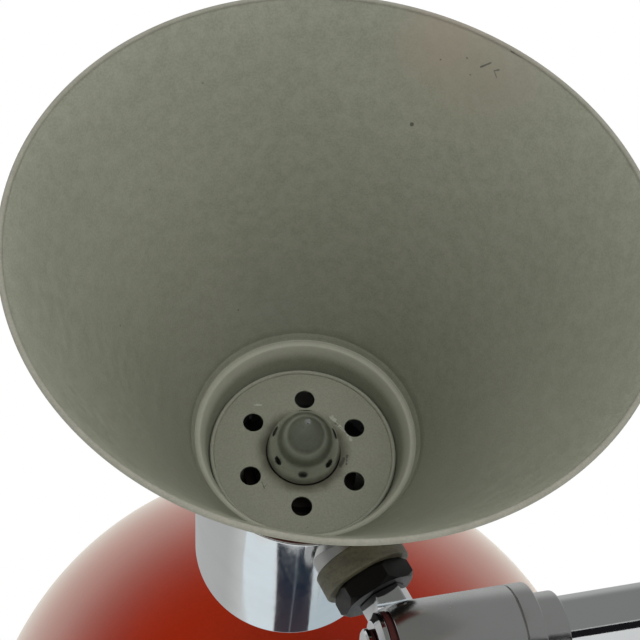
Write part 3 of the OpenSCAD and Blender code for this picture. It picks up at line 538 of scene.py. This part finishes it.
def fibre():
    """Pressed fibre washer: layered and oily."""
    t = Tree("fibre")
    t.constant(Specular_IOR_Level=0.4)
    layers = t.noise(150.0, 5.0, 0.7, vector=t.vector("MULTIPLY", t.coord, (0.6, 0.6, 3.0)))
    grain = t.noise(1500.0, 2.0)
    color = t.mix(t.ramp(layers, 0.3, 0.7), (0.082, 0.077, 0.043), (0.051, 0.046, 0.028))
    color = t.mix(t.ramp(grain, 0.45, 0.7, 0.0, 0.4), color, (0.024, 0.022, 0.015))
    return t.done(color, t.ramp(layers, 0.3, 0.7, 0.38, 0.6), t.bump(t.math("ADD", layers, grain), 0.25, 0.1))


# Marks inside the shade, in millimetres. Zones: centre, radius, tone, amount. Scratches: ends, half width
SHADE_ZONES = [
    ((26.43, -283.75, 63.86), 11.0, (0.285, 0.250, 0.185), 0.40),
    ((21.72, -285.66, 68.35), 6.0, (0.30, 0.245, 0.190), 0.45),
    ((33.51, -285.98, 57.94), 7.0, (0.265, 0.235, 0.185), 0.30),
    ((-10.2, -225.28, 52.26), 9.0, (0.205, 0.208, 0.195), 0.18),
]
SHADE_SCRATCHES = [
    ((28.41, -283.89, 62.16), (29.9, -285.4, 61.56), 0.16),
    ((30.44, -284.4, 60.43), (31.16, -284.99, 60.02), 0.14),
    ((30.45, -284.39, 60.42), (30.88, -283.55, 59.46), 0.11),
    ((42.08, -288.54, 45.87), (43.44, -288.52, 42.38), 0.13),
    ((20.8, -288.7, 72.1), (24.6, -288.7, 69.2), 0.10),
    ((33.0, -288.7, 60.9), (35.6, -288.7, 57.6), 0.10),
]
SHADE_CHIPS = [
    ((17.48, -268.53, 62.82), 0.42), ((26.17, -284.26, 64.34), 0.20), ((26.85, -281.72, 62.39), 0.13),
    ((21.95, -282.13, 66.48), 0.16), ((-48.97, -262.64, 15.43), 0.16), ((-30.28, -219.07, 34.5), 0.15),
    ((-31.7, -220.01, 17.66), 0.14), ((-43.72, -250.82, 35.06), 0.13), ((-35.04, -262.89, 57.33), 0.12),
    ((-17.97, -226.81, 50.86), 0.14), ((-45.22, -258.75, 8.75), 0.14),
]

# Marks on the vent plate: (x, z) of both ends, half width
PLATE_FACE_Y = -207.25
PLATE_CHIPS = [
    ((0.53, 32.18), (2.03, 30.07), 0.22), ((2.03, 30.07), (3.14, 27.96), 0.20),
    ((3.14, 27.96), (4.24, 25.75), 0.10), ((1.13, 31.98), (1.43, 31.48), 0.34),
    ((-15.75, 37.61), (-14.25, 37.41), 0.16),
]
PLATE_STAINS = [
    ((-17.26, 18.72), (-16.96, 17.21), 0.16), ((-16.26, 18.12), (-16.86, 17.51), 0.12),
    ((1.53, 21.43), (0.53, 19.93), 0.36), ((2.44, 22.14), (1.83, 20.13), 0.16),
    ((-15.65, 10.18), (-15.25, 10.08), 0.12), ((-9.42, 6.86), (-9.12, 6.86), 0.10),
    ((1.23, 30.78), (2.54, 28.97), 0.09),
]


def on_plate(point):
    return (point[0], PLATE_FACE_Y, point[1])


MATERIALS = {
    "chrome": metal("chrome", (0.80, 0.81, 0.82), (0.10, 0.09, 0.08), 0.045, 0.06),
    "canopy_enamel": red_enamel("canopy_enamel"),
    "shade_enamel": shade_enamel(),
    "black_steel": metal("black_steel", (0.030, 0.028, 0.027), (0.12, 0.11, 0.10), 0.34, 0.12, scale=120.0,
                         wear=0.5, bump=0.2),
    "zinc_steel": metal("zinc_steel", (0.50, 0.50, 0.48), (0.16, 0.14, 0.10), 0.28, 0.14, scale=90.0, wear=0.7,
                        bump=0.15),
    "fibre": fibre(),
    "red_fibre": plastic("red_fibre", (0.075, 0.011, 0.009), (0.050, 0.008, 0.007), 0.5),
    "grommet_rubber": plastic("grommet_rubber", (0.022, 0.022, 0.022), (0.035, 0.034, 0.033), 0.6, spec=0.3),
    "laminations": laminations(),
    "winding": winding(),
    "terminal_plastic": plastic("terminal_plastic", (0.70, 0.68, 0.60), (0.64, 0.61, 0.52), 0.35, bump=0.05),
    "bakelite": plastic("bakelite", (0.030, 0.024, 0.020), (0.045, 0.034, 0.028), 0.28, bump=0.04),
    "silvered_glass": silvered_glass(),
    "cap_brass": metal("cap_brass", (0.62, 0.44, 0.18), (0.20, 0.12, 0.05), 0.22, 0.12, scale=90.0, wear=0.7,
                       bump=0.12),
    "nylon": plastic("nylon", (0.72, 0.70, 0.63), (0.66, 0.63, 0.55), 0.35, bump=0.05),
}
plate_look = plate_enamel()
satin_chrome = metal("satin_chrome", (0.74, 0.745, 0.735), (0.16, 0.15, 0.13), 0.21, 0.07, wear=0.6, bump=0.08)

# CAD nodes keep their shape and get materials
slot_of = {part["node"]: part["material_slot"] for part in frame["record"]["subparts"]}
for name, obj in nodes.items():
    if not obj.material_slots:
        obj.data.materials.append(None)
    for s in obj.material_slots:
        s.link = "OBJECT"
        s.material = MATERIALS[slot_of[name]]

# Shade: rolled bead, cone, cup with a thin raised line at its edge, floor. Grey-green inside. The outside
# is mostly hidden in the photograph, and red-orange is a reading of the dark red line under the rim
CONE_R, CONE_SLOPE, CONE_WALL = 53.75, 0.405827, 0.54
BEAD_R, BEAD_MIDDLE_R = 0.5, 54.5


def inner(z):
    """Inner radius of the cone at the depth z."""
    return CONE_R - CONE_SLOPE * z


shade_line = arc(BEAD_MIDDLE_R, BEAD_R, BEAD_R, 172, 395, 24)
turn_out = len(shade_line) - 1
shade_line += [(54.6, 1.05), (54.3, 1.3), (53.85, 1.9), (53.15, 3.1)]
shade_line += [(inner(z) + CONE_WALL, z) for z in (6, 12, 24, 40, 56, 70, 73.6)]
shade_line += [(24.25, 73.95), (23.6, 75.2), (22.6, 77.7), (21.75, 80.8), (21.5, 82.6), (21.2, 83.2),
               (20.8, 83.3)]
turn_in = len(shade_line) - 1
shade_line += [(16.4, 83.3), (16.3, 83.2), (16.3, 82.9), (16.4, 82.8)]
shade_line += [(20.4, 82.8), (20.75, 82.6), (20.92, 82.1), (21.0, 80.6), (21.2, 79.0), (21.45, 77.6),
               (21.85, 76.3)]
shade_line += [(22.35, 75.1), (22.6, 74.66), (22.72, 74.50), (22.84, 74.44), (23.0, 74.40), (23.45, 74.12)]
shade_line += [(23.6, 73.97), (23.68, 73.85), (23.82, 73.78)]
shade_line += [(inner(z) + proud, z) for z, proud in (
    (73.6, 0), (72.4, 0), (72.2, 0.09), (72.0, 0.09), (71.8, 0), (70, 0), (56, 0), (40, 0), (24, 0), (12, 0),
    (8, 0.02), (5, 0.07), (2.6, 0.2), (1.4, 0.36))]
shade_line += [(53.83, 0.85)]
shade = lathe("shade_shell", shade_line, HEAD, "lamp_head", "shade_enamel", ("shade",), segments=256, sharp=40,
              second=(turn_out, turn_in))
# The outside's enamel carries painted shade towards the neck
shade.data.materials.append(red_enamel("shade_outside", painted_shade_by_neck=True))

# Vent plate: a flat curve with its holes, so every hole has a softened edge, and a thin ring round it
PLATE_Z, PLATE_R, PLATE_SOFT = 82.25, 20.05, 0.1
BULB_HOLE_R = 8.25
VENT_R, VENT_CIRCLE_R, VENT_TURN = 2.25, 13.1, -18
curve = bpy.data.curves.new("vent_plate_curve", "CURVE")
curve.dimensions = "2D"
curve.fill_mode = "BOTH"
curve.extrude = 0.15
curve.bevel_depth = PLATE_SOFT
curve.bevel_resolution = 2
vent_angles = [math.radians(VENT_TURN + 60 * k) for k in range(6)]
rounds = [(0, 0, PLATE_R - PLATE_SOFT, 200), (0, 0, BULB_HOLE_R + PLATE_SOFT, 120)]
rounds += [(VENT_CIRCLE_R * math.cos(a), VENT_CIRCLE_R * math.sin(a), VENT_R + PLATE_SOFT, 64)
           for a in vent_angles]
for cx, cy, r, count in rounds:
    spline = curve.splines.new("POLY")
    spline.points.add(count - 1)
    spline.use_cyclic_u = True
    for k in range(count):
        a = 2 * math.pi * k / count
        spline.points[k].co = (cx + r * math.cos(a), cy + r * math.sin(a), 0, 1)
flat = bpy.data.objects.new("vent_plate_flat", curve)
scene.collection.objects.link(flat)
bpy.context.view_layer.update()
mesh = bpy.data.meshes.new_from_object(flat.evaluated_get(bpy.context.evaluated_depsgraph_get()))
bpy.data.objects.remove(flat)
bm = bmesh.new()
bm.from_mesh(mesh)
bpy.data.meshes.remove(mesh)
bmesh.ops.translate(bm, verts=bm.verts, vec=(0, 0, PLATE_Z))
disc = add_object("vent_disc", bm, HEAD)
ring = add_object("vent_ring", lathe_mesh(arc(20.1, 82.0, 0.5, 0, 342, 19), 256), HEAD)
plate = join("vent_plate_disc", [disc, ring])
finish_piece(plate, "lamp_head", "shade_enamel", ("vent_plate",), plate_look)

# Bulb: an arch that ends in a rounded point, with the glass shoulder behind the plate
BULB_R, BULB_ARC_R, BULB_WIDEST_Z = 8.1, 19.861, 82.8
TIP_R, TIP_Z = 1.5, 68.7
bulb_line = [(TIP_R * math.sin(math.radians(a)), TIP_Z - TIP_R * math.cos(math.radians(a)))
             for a in (0, 8, 16, 24, 32)]
bulb_line += arc(BULB_R - BULB_ARC_R, BULB_WIDEST_Z, BULB_ARC_R, -50.17, 0, 40)
bulb_line += [(BULB_R, 83.6), (7.7, 84.6), (6.9, 86.3), (0.0, 86.3)]
lathe("bulb_glass", bulb_line, HEAD, "lamp_head", "silvered_glass", ("bulb",))

# Neck tube
NECK_R, NECK_WALL, NECK_LOW, NECK_TOP = 23.75, 1.0, 77.8, 134.5
neck_line = braced(rounded([(NECK_R, NECK_LOW), (NECK_R, NECK_TOP), (NECK_R - NECK_WALL, NECK_TOP),
                            (NECK_R - NECK_WALL, NECK_LOW)], 0.35))
lathe("neck_tube", neck_line, HEAD, "lamp_head", "chrome", ("neck",), segments=256)

# Swivel stack: fibre washer and nut, on the knuckle's shank
SHANK_HOLE_R = 3.05
WASHER_R, WASHER_LOW, WASHER_TOP = 9.9, 25.3, 30.6
NUT_LOW, NUT_TOP = 30.6, 35.22
lathe("fibre_ring", rounded([(SHANK_HOLE_R, WASHER_LOW), (WASHER_R, WASHER_LOW), (WASHER_R, WASHER_TOP),
                             (SHANK_HOLE_R, WASHER_TOP)], 0.55), STACK,
      "swivel_knuckle", "fibre", ("fibre_washer",))
nut = add_object("black_nut", hexagon_mesh(15.6, 30.62, 35.2, turn=22, bevel=0.12), STACK)
nut_round = add_object("nut_round", lathe_mesh(rounded(
    [(SHANK_HOLE_R, NUT_LOW), (7.9, NUT_LOW), (9.02, 31.7), (9.02, 34.1), (7.9, NUT_TOP),
     (SHANK_HOLE_R, NUT_TOP)], 0.12)), STACK)
boolean(nut, nut_round, "INTERSECT")
finish_piece(nut, "swivel_knuckle", "black_steel", ("swivel_nut",))

# Knuckle: eye, six-sided shoulder and shank
EYE_TOP = -5.94
shoulder = add_object("knuckle_shoulder", hexagon_mesh(9.6, NUT_TOP, 41.4, shift=(-0.6, 0), bevel=0.3), STACK)
cutter = add_object("knuckle_cutter", lathe_mesh([(0, EYE_TOP), (11.6, EYE_TOP), (11.6, 34.0), (0, 34.0)]), ARM)
boolean(shoulder, cutter, "DIFFERENCE")
eye = add_object("knuckle_eye", lathe_mesh(rounded(
    [(3.08, -7.94), (8.4, -7.94), (9.9, -6.94), (9.9, EYE_TOP), (3.08, EYE_TOP)], 0.18)), ARM)
shank = add_object("knuckle_shank", lathe_mesh(
    [(0, 18.15), (2.0, 18.15), (2.2, 18.35), (2.2, 22.33), (2.8, 22.33), (3.0, 22.53), (3.0, 36.5),
     (0, 36.5)]), STACK)
finish_piece(join("knuckle_forging", [shoulder, eye, shank]), "swivel_knuckle", "chrome", ("knuckle",))

# Arm end: sleeve with a rounded shoulder, cap and collar
TUBE_R, TUBE_BORE_R = 7.2, 6.2
END_BORE_R, SLEEVE_R = 7.25, 11.3
SLEEVE_ARC_R, SLEEVE_ARC_Z = 16.617, 2
sleeve_line = [(3.05, -4.2), (10.0, -4.2)]
sleeve_line += [(SLEEVE_R - SLEEVE_ARC_R + math.sqrt(SLEEVE_ARC_R ** 2 - (SLEEVE_ARC_Z - z) ** 2), z)
                for z in (-4.1, -3.2, -2.2, -1.2, -0.2, 0.8, SLEEVE_ARC_Z)]
sleeve_line += [(SLEEVE_R, 21.1), (11.22, 21.26), (11.1, 21.3), (END_BORE_R, 21.3), (END_BORE_R, 7.5),
                (3.05, 7.5)]
cap_line = rounded([(END_BORE_R, 21.32), (10.5, 21.32), (10.5, 21.7), (SLEEVE_R, 21.7), (SLEEVE_R, 25.7),
                    (END_BORE_R, 25.7)], {2: 0.05, 3: 0.15, 4: 0.6})
collar_line = rounded([(END_BORE_R, 25.72), (8.65, 25.72), (8.65, 31.5), (END_BORE_R, 31.5)],
                      {1: 0.2, 2: 0.6})
for name, outline, node in (("arm_end_sleeve", sleeve_line, "arm_sleeve"),
                            ("arm_end_cap", cap_line, "sleeve_cap"),
                            ("arm_end_collar", collar_line, "arm_collar")):
    lathe(name, outline, ARM, "upper_arm", "chrome", (node,), segments=200, look=satin_chrome)

# Tubes of both arms
for name, low, high, place, body, node in (("upper_tube", 8, 178.68, ARM, "upper_arm", "upper_arm_tube"),
                                           ("lower_tube", 18.52, 201.48, LOWER_ARM, "lower_arm",
                                            "lower_arm_tube")):
    tube_line = rounded([(TUBE_BORE_R, low), (TUBE_R, low), (TUBE_R, high), (TUBE_BORE_R, high)], 0.2)
    lathe(name, braced(tube_line), place, body, "chrome", (node,), segments=200)

# Canopy: dome from its edge to the hole at its top, given in degrees, and the collar there
DOME_R, DOME_INNER_R = 108.0, 106.8
DOME_EDGE, DOME_HOLE = 0.25, 87.75
dome_line = arc(0.0, 0.0, DOME_R, DOME_EDGE, DOME_HOLE, 60)
dome_line += arc(0.0, 0.0, DOME_INNER_R, DOME_HOLE, DOME_EDGE, 60)
dome_line += [(107.0, 0.08), (107.3, 0.0), (107.7, 0.0), (107.95, 0.12)]
lathe("canopy_shell", dome_line, CANOPY, "wall_canopy", "canopy_enamel", ("canopy_dome",), segments=320)
lathe("canopy_top_collar", rounded(
    [(4.05, 108.0), (10.0, 107.6), (10.0, 111.75), (4.05, 111.75)], {1: 0.15, 2: 0.8}), CANOPY, "wall_canopy",
      "chrome", ("canopy_collar",))

# Push button with a softened face
lathe("button_cap", rounded([(0, 131.9), (3.6, 131.9), (3.6, 143.1), (0, 143.1)], {2: 0.9}), HEAD, "push_button",
      "bakelite", ("switch_button",))

# Floor. The chrome doesn't show it
FLOOR_Z, FLOOR_HALF = -0.60, 4.0
bm = bmesh.new()
bmesh.ops.create_grid(bm, x_segments=8, y_segments=8, size=FLOOR_HALF)
floor = to_object("stage_floor", bm)
floor.location = (0, 0, FLOOR_Z)
t = Tree("stage_floor_paint")
t.constant(Specular_IOR_Level=0.2)
floor_tone = t.mix(t.ramp(t.noise(3.0), 0.3, 0.7), (0.86, 0.86, 0.86), (0.84, 0.84, 0.84))
floor.data.materials.append(t.done(floor_tone, 0.9))
floor.visible_glossy = False

# World: soft light, and plain white for the rays that see it
SOFT, WHITE = ((0.98, 0.99, 1.0, 1), 1.08), ((1, 1, 1, 1), 1.0)
world = bpy.data.worlds.new("studio")
scene.world = world
world.use_nodes = True
wn, wl = world.node_tree.nodes, world.node_tree.links
wn.clear()
out = wn.new("ShaderNodeOutputWorld")
mixer = wn.new("ShaderNodeMixShader")
path = wn.new("ShaderNodeLightPath")
seeing = path.outputs["Is Camera Ray"]
for ray in ("Is Glossy Ray", "Is Transmission Ray"):
    either = wn.new("ShaderNodeMath")
    either.operation = "MAXIMUM"
    wl.new(seeing, either.inputs[0])
    wl.new(path.outputs[ray], either.inputs[1])
    seeing = either.outputs[0]
wl.new(seeing, mixer.inputs[0])
for socket, (color, strength) in zip(mixer.inputs[1:3], (SOFT, WHITE)):
    tone = wn.new("ShaderNodeBackground")
    tone.inputs["Color"].default_value = color
    tone.inputs["Strength"].default_value = strength
    wl.new(tone.outputs[0], socket)
wl.new(mixer.outputs[0], out.inputs["Surface"])


def area_light(name, place, target, size, power):
    data = bpy.data.lights.new(name, "AREA")
    data.shape = "SQUARE"
    data.size = size
    data.energy = power
    obj = bpy.data.objects.new(name, data)
    scene.collection.objects.link(obj)
    obj.location = place
    obj.rotation_euler = (Vector(target) - Vector(place)).to_track_quat("-Z", "Y").to_euler()
    obj.visible_camera = False
    obj.visible_glossy = False


centre = (0.0, -0.2, 0.0)
area_light("key", (-0.35, -1.7, 0.75), centre, 1.3, 3.0)
area_light("fill", (0.35, -1.3, -0.3), centre, 0.5, 3.3)


# Stage surfaces that only reflections see. They stay still when the lamp moves

def reflection_only(obj, color_of):
    """Makes an object glow for reflections alone, in the colour that color_of gives."""
    obj.visible_camera = False
    obj.visible_diffuse = False
    obj.visible_shadow = False
    obj.visible_transmission = False
    t = Tree(obj.name)
    t.nodes.remove(t.shader)
    glow = t.new("ShaderNodeEmission")
    t.put(glow.inputs["Color"], color_of(t))
    t.links.new(glow.outputs[0], t.nodes["Material Output"].inputs["Surface"])
    obj.data.materials.append(t.material)


def tent_color(t):
    """Grey in front and above, paler behind, pale low down. By place on the tent."""
    way = t.vector("NORMALIZE", t.coord)
    height = t.axis("Z", way)
    back = t.ramp(t.axis("Y", way), -0.1, 0.5)
    front_tone = t.ramp(height, -0.40, -0.30, 0.74, 0.225)
    back_tone = t.ramp(height, -0.35, 0.05, 0.80, 0.44)
    tone = t.math("ADD", t.math("MULTIPLY", back_tone, back),
                  t.math("MULTIPLY", front_tone, t.math("SUBTRACT", 1.0, back)))
    grey = t.new("ShaderNodeCombineColor")
    for channel, gain in (("Red", 0.985), ("Green", 1.0), ("Blue", 0.99)):
        t.put(grey.inputs[channel], t.math("MULTIPLY", tone, gain))
    return grey.outputs[0]


TENT_R = 2.4
bm = bmesh.new()
bmesh.ops.create_uvsphere(bm, u_segments=48, v_segments=24, radius=TENT_R)
tent = to_object("stage_tent", bm)
tent.location = centre
reflection_only(tent, tent_color)


def flag(name, place, target, width, height, level):
    """A flat panel of one tone that faces the target."""
    bm = bmesh.new()
    bmesh.ops.create_grid(bm, x_segments=1, y_segments=1, size=0.5)
    obj = to_object(name, bm)
    obj.location = place
    obj.rotation_euler = (Vector(target) - Vector(place)).to_track_quat("Z", "Y").to_matrix().to_euler()
    obj.scale = (width, height, 1)
    reflection_only(obj, lambda t: (*level, 1.0))


flag("flag_low", (0.20, -0.44, -0.20), (0.05, -0.21, -0.024), 1.2, 0.12, (0.01, 0.01, 0.011))
flag("flag_floor", (-0.20, -0.33, -0.33), (-0.20, -0.33, 0.0), 0.62, 0.50, (0.02, 0.02, 0.02))


def flag_shape(name, y, low, high, left, right):
    """A flag in the plane y, between two chains of (x, z) points that start at the same end."""
    bm = bmesh.new()
    chains = [[bm.verts.new((x, y, z)) for x, z in chain] for chain in (left, right)]
    for k in range(len(left) - 1):
        bm.faces.new((chains[0][k], chains[0][k + 1], chains[1][k + 1], chains[1][k]))
    reflection_only(to_object(name, bm), lambda t: t.mix(t.ramp(t.axis("Z"), -0.19, -0.145), low, high))


# Panels that give the neck its bands. Their edges and tones were read from the bands in the photograph and
# traced back through the neck's mirror surface, so they fit the photograph's camera at rest, and no other view
STRIP_LEFT = [(-0.137, -0.185), (-0.1231, -0.1758), (-0.1139, -0.1729), (-0.1041, -0.1688), (-0.0952, -0.1642),
              (-0.0855, -0.1583), (-0.0768, -0.1519), (-0.0702, -0.146), (-0.0621, -0.1379), (-0.045, -0.12)]
STRIP_RIGHT = [(0.026, -0.220), (0.0314, -0.2072), (0.0365, -0.1987), (0.0427, -0.1887), (0.049, -0.1784),
               (0.0548, -0.1665), (0.0585, -0.155), (0.0615, -0.1451), (0.0642, -0.1321), (0.069, -0.11)]
BANDS = [
    ("flag_strip", 0.30, (0.007, 0.0163, 0.031), (0.049, 0.038, 0.049), STRIP_LEFT, STRIP_RIGHT),
    ("flag_line", 0.29, (0.16, 0.19, 0.22), (0.20, 0.19, 0.21),
     [(-0.0429, -0.2014), (-0.0369, -0.1961), (-0.0293, -0.1887), (-0.0235, -0.1811), (-0.018, -0.172),
      (-0.0142, -0.1629), (-0.0112, -0.1551), (-0.007, -0.1447)],
     [(-0.0391, -0.2021), (-0.0332, -0.1966), (-0.0256, -0.1891), (-0.0199, -0.1814), (-0.0144, -0.1722),
      (-0.0107, -0.163), (-0.0078, -0.1551), (-0.0037, -0.1447)]),
    ("flag_bright", 0.32, (0.72, 0.80, 0.84), (0.72, 0.80, 0.84),
     [(-0.24, -0.080), (-0.2231, -0.073), (-0.2167, -0.0654), (-0.2066, -0.0643), (-0.1959, -0.0648),
      (-0.1863, -0.0661), (-0.1765, -0.0711), (-0.1682, -0.0755), (-0.1597, -0.0795), (-0.14, -0.085)],
     STRIP_LEFT),
    ("flag_side", 0.32, (0.62, 0.69, 0.72), (0.46, 0.54, 0.58), STRIP_RIGHT[1:9],
     [(0.1632, -0.1481), (0.1679, -0.1306), (0.172, -0.1107), (0.1748, -0.0899), (0.1761, -0.0642),
      (0.1749, -0.0367), (0.1701, -0.0181), (0.161, 0.0104)]),
    ("flag_thread", 0.29, (0.06, 0.08, 0.09), (0.06, 0.08, 0.09),
     [(0.061, -0.1942), (0.0651, -0.1869), (0.0709, -0.1757), (0.0771, -0.164), (0.0848, -0.1525)],
     [(0.0661, -0.1925), (0.0697, -0.1852), (0.0746, -0.1742), (0.0803, -0.1625), (0.0871, -0.1512)]),
    ("flag_blue", 0.29, (0.16, 0.23, 0.28), (0.16, 0.23, 0.28),
     [(0.0961, -0.1814), (0.0992, -0.1716), (0.1005, -0.1627), (0.1024, -0.1533)],
     [(0.1103, -0.1734), (0.1142, -0.1624), (0.1121, -0.1553), (0.1081, -0.1496)]),
]
for band in BANDS:
    flag_shape(*band)

# A grey shroud just outside the cone. It hides the shade's red from the chrome, which shows none in the
# photograph
SHROUD_GAP, SHROUD_INNER_GAP = 1.2, 1.0
shroud_bm = lathe_mesh([(inner(z) + SHROUD_GAP, z) for z in (4, 30, 70)]
                       + [(inner(z) + SHROUD_INNER_GAP, z) for z in (70, 30, 4)], 96)
bmesh.ops.transform(shroud_bm, matrix=Matrix.Scale(MM, 4) @ HEAD, verts=shroud_bm.verts)
reflection_only(to_object("flag_shroud", shroud_bm), lambda t: (0.155, 0.158, 0.148, 1.0))

# The photograph's chrome shows no red dome, so the wall side's pieces are hidden from reflections
for obj in scene.objects:
    if obj.get("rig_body") == "wall_canopy" and obj.type == "MESH":
        obj.visible_glossy = False
